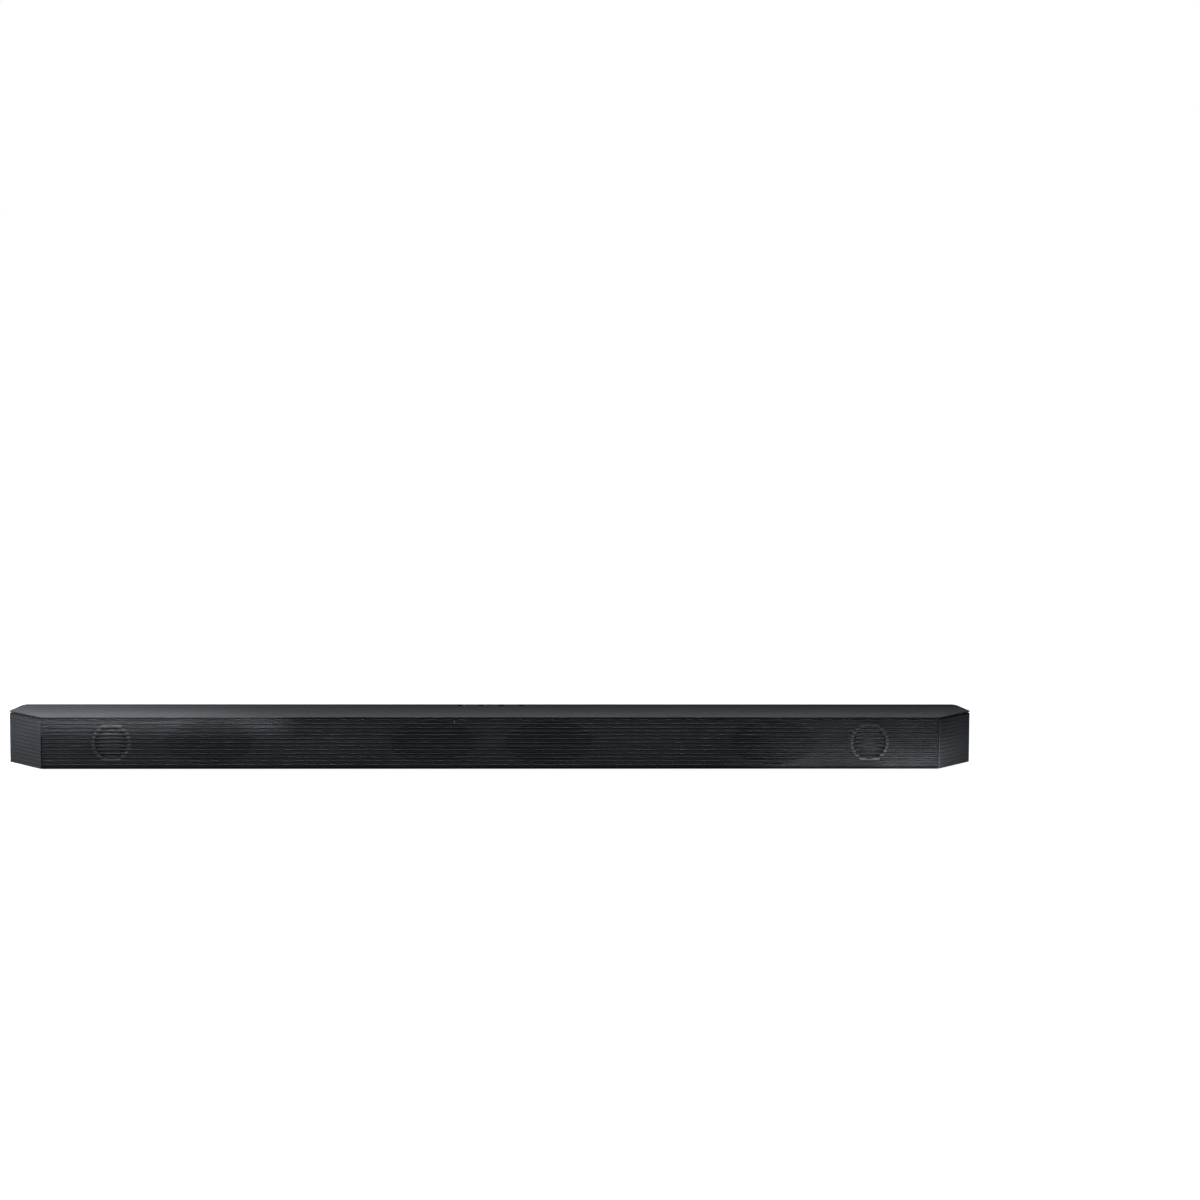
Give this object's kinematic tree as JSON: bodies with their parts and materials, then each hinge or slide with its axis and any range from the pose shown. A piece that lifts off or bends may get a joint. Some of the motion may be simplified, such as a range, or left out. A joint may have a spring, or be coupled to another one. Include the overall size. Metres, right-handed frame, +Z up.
{
  "type": "soundbar",
  "caption": "Low, wide soundbar with a slatted front, angled slatted ends, a plain top with keys near the back, and a plug recess behind.",
  "frame": {"origin": "on the table, under the middle of the bar", "axes": "+X along the length to the right as seen from the front, the front faces -Y, +Z up"},
  "size_m": [1.0318, 0.105, 0.0608],
  "materials": {
    "cover_plastic": "fine moulded satin, dark charcoal",
    "grille_plastic": "satin, dark charcoal",
    "case_plastic": "fine spark texture, near black",
    "key_plastic": "satin, dark charcoal",
    "ring_trim": "satin grey",
    "cone_paper": "matte dark grey",
    "rubber": "matte",
    "scrim_cloth": "open black weave",
    "ribbon_film": "flat film",
    "circuit_board": "solder mask",
    "magnet_steel": "zinc plated",
    "heat_sink_aluminium": "as extruded",
    "screw_steel": "black zinc",
    "insert_brass": "turned",
    "light_lens": "frosted",
    "socket_plastic": "moulded"
  },
  "bodies": {
    "cabinet": {"bottom_case": "case_plastic", "connector_bay": "case_plastic", "top_cover": "cover_plastic", "front_grille": "grille_plastic", "left_end_grille": "grille_plastic", "right_end_grille": "grille_plastic", "grille_cloth": "scrim_cloth", "front_baffle": "case_plastic", "left_ring_driver_frame": "ring_trim", "left_ring_driver_motor": "magnet_steel", "left_ring_driver_surround": "rubber", "right_ring_driver_frame": "ring_trim", "right_ring_driver_motor": "magnet_steel", "right_ring_driver_surround": "rubber", "left_woofer_frame": "case_plastic", "left_woofer_motor": "magnet_steel", "left_woofer_surround": "rubber", "right_woofer_frame": "case_plastic", "right_woofer_motor": "magnet_steel", "right_woofer_surround": "rubber", "centre_left_woofer_frame": "case_plastic", "centre_left_woofer_motor": "magnet_steel", "centre_left_woofer_surround": "rubber", "centre_right_woofer_frame": "case_plastic", "centre_right_woofer_motor": "magnet_steel", "centre_right_woofer_surround": "rubber", "key_mat": "rubber", "key_board": "circuit_board", "key_ribbon": "ribbon_film", "status_light_guide": "light_lens", "status_light_board": "circuit_board", "main_board": "circuit_board", "port_board": "circuit_board", "amplifier_board": "circuit_board", "heat_sink": "heat_sink_aluminium", "wireless_module": "screw_steel", "power_inlet": "socket_plastic", "optical_socket": "socket_plastic", "usb_socket": "socket_plastic", "hdmi_in_socket": "socket_plastic", "hdmi_out_socket": "socket_plastic", "front_left_screw": "screw_steel", "rear_left_screw": "screw_steel", "front_right_screw": "screw_steel", "rear_right_screw": "screw_steel", "left_mount_insert": "insert_brass", "right_mount_insert": "insert_brass", "front_left_foot": "rubber", "rear_left_foot": "rubber", "front_right_foot": "rubber", "rear_right_foot": "rubber"},
    "power_key": {"power_key": "key_plastic"},
    "volume_down_key": {"volume_down_key": "key_plastic"},
    "volume_up_key": {"volume_up_key": "key_plastic"},
    "left_ring_driver_cone": {"left_ring_driver_cone": "cone_paper"},
    "right_ring_driver_cone": {"right_ring_driver_cone": "cone_paper"},
    "left_woofer_cone": {"left_woofer_cone": "cone_paper"},
    "right_woofer_cone": {"right_woofer_cone": "cone_paper"},
    "centre_left_woofer_cone": {"centre_left_woofer_cone": "cone_paper"},
    "centre_right_woofer_cone": {"centre_right_woofer_cone": "cone_paper"}
  },
  "joints": [
    {"name": "power_key_press", "type": "slide", "parent": "cabinet", "child": "power_key", "axis": [0, 0, -1], "range_m": [0, 0.0005], "stiffness_N_per_m": 2400},
    {"name": "volume_down_key_press", "type": "slide", "parent": "cabinet", "child": "volume_down_key", "axis": [0, 0, -1], "range_m": [0, 0.0005], "stiffness_N_per_m": 2400},
    {"name": "volume_up_key_press", "type": "slide", "parent": "cabinet", "child": "volume_up_key", "axis": [0, 0, -1], "range_m": [0, 0.0005], "stiffness_N_per_m": 2400},
    {"name": "left_ring_driver_cone_travel", "type": "slide", "parent": "cabinet", "child": "left_ring_driver_cone", "axis": [0, -1, 0], "range_m": [-0.0005, 0.0005], "stiffness_N_per_m": 2000},
    {"name": "right_ring_driver_cone_travel", "type": "slide", "parent": "cabinet", "child": "right_ring_driver_cone", "axis": [0, -1, 0], "range_m": [-0.0005, 0.0005], "stiffness_N_per_m": 2000},
    {"name": "left_woofer_cone_travel", "type": "slide", "parent": "cabinet", "child": "left_woofer_cone", "axis": [0, -1, 0], "range_m": [-0.002, 0.002], "stiffness_N_per_m": 1500},
    {"name": "right_woofer_cone_travel", "type": "slide", "parent": "cabinet", "child": "right_woofer_cone", "axis": [0, -1, 0], "range_m": [-0.002, 0.002], "stiffness_N_per_m": 1500},
    {"name": "centre_left_woofer_cone_travel", "type": "slide", "parent": "cabinet", "child": "centre_left_woofer_cone", "axis": [0, -1, 0], "range_m": [-0.002, 0.002], "stiffness_N_per_m": 1500},
    {"name": "centre_right_woofer_cone_travel", "type": "slide", "parent": "cabinet", "child": "centre_right_woofer_cone", "axis": [0, -1, 0], "range_m": [-0.002, 0.002], "stiffness_N_per_m": 1500}
  ]
}
